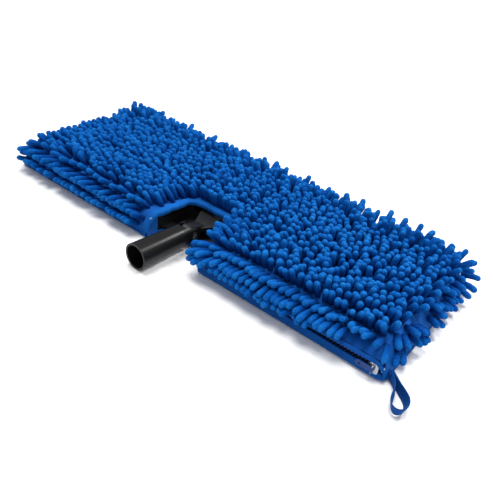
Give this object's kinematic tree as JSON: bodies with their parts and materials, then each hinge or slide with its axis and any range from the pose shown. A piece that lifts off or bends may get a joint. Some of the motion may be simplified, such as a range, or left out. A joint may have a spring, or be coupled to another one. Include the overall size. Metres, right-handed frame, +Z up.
{
  "type": "chenille wash mop head",
  "caption": "Flat rectangular wash mop head: zipped chenille microfibre sleeve over a rigid frame, notched at the front for a swivelling, flipping pole socket.",
  "frame": {"origin": "centre of the sleeve's flat underside, on the surface it rests on", "axes": "+X along the long side towards the closed end of the zip, +Y from the pole socket to the back, +Z up out of the pile"},
  "size_m": [0.496, 0.2235, 0.039],
  "materials": {
    "chenille": "soft chenille microfibre pile",
    "sleeve_cloth": "dense short-pile knit",
    "binding_tape": "smooth bias binding",
    "loop_tape": "flat woven tape",
    "thread": "twisted polyester thread",
    "zip_tape": "woven zip tape",
    "zip_coil": "dark blue nylon",
    "zip_metal": "bright nickel",
    "black_plastic": "satin moulded polypropylene",
    "steel": "zinc plated"
  },
  "bodies": {
    "head": {"bottom_panel": "sleeve_cloth", "top_panel": "sleeve_cloth", "chenille_pile": "chenille", "side_band": "sleeve_cloth", "front_hem": "sleeve_cloth", "front_flap": "sleeve_cloth", "notch_lips": "sleeve_cloth", "notch_binding_top": "binding_tape", "notch_binding_bottom": "binding_tape", "hanging_loop": "loop_tape", "loop_bar_tack": "thread", "zip_tape_lower": "zip_tape", "zip_tape_upper": "zip_tape", "zip_teeth": "zip_coil", "zip_stops": "zip_metal", "frame_lower": "black_plastic", "frame_upper": "black_plastic", "frame_screws": "steel", "pivot_pin": "steel", "pivot_washers": "black_plastic"},
    "swivel": {"swing_plate": "black_plastic"},
    "socket": {"pole_socket": "black_plastic", "flip_pin": "steel", "flip_pin_caps": "black_plastic"},
    "zip_slider": {"zip_slider": "zip_metal"},
    "zip_pull": {"zip_pull": "zip_metal"}
  },
  "joints": [
    {"name": "socket_swing", "type": "hinge", "parent": "head", "child": "swivel", "pos_m": [0, -0.012, 0.014], "axis": [0, 0, 1], "range_deg": [-12, 18]},
    {"name": "socket_flip", "type": "hinge", "parent": "swivel", "child": "socket", "pos_m": [-0.00251, -0.05993, 0.014], "axis": [-0.9986, 0.0523, 0], "range_deg": [-8, 110]},
    {"name": "zip_travel", "type": "slide", "parent": "head", "child": "zip_slider", "axis": [-1, 0, 0], "range_m": [0, 0.158]},
    {"name": "pull_swing", "type": "hinge", "parent": "zip_slider", "child": "zip_pull", "pos_m": [0.218, -0.0904, 0.0101], "axis": [0, 0, 1], "range_deg": [0, 150]}
  ]
}
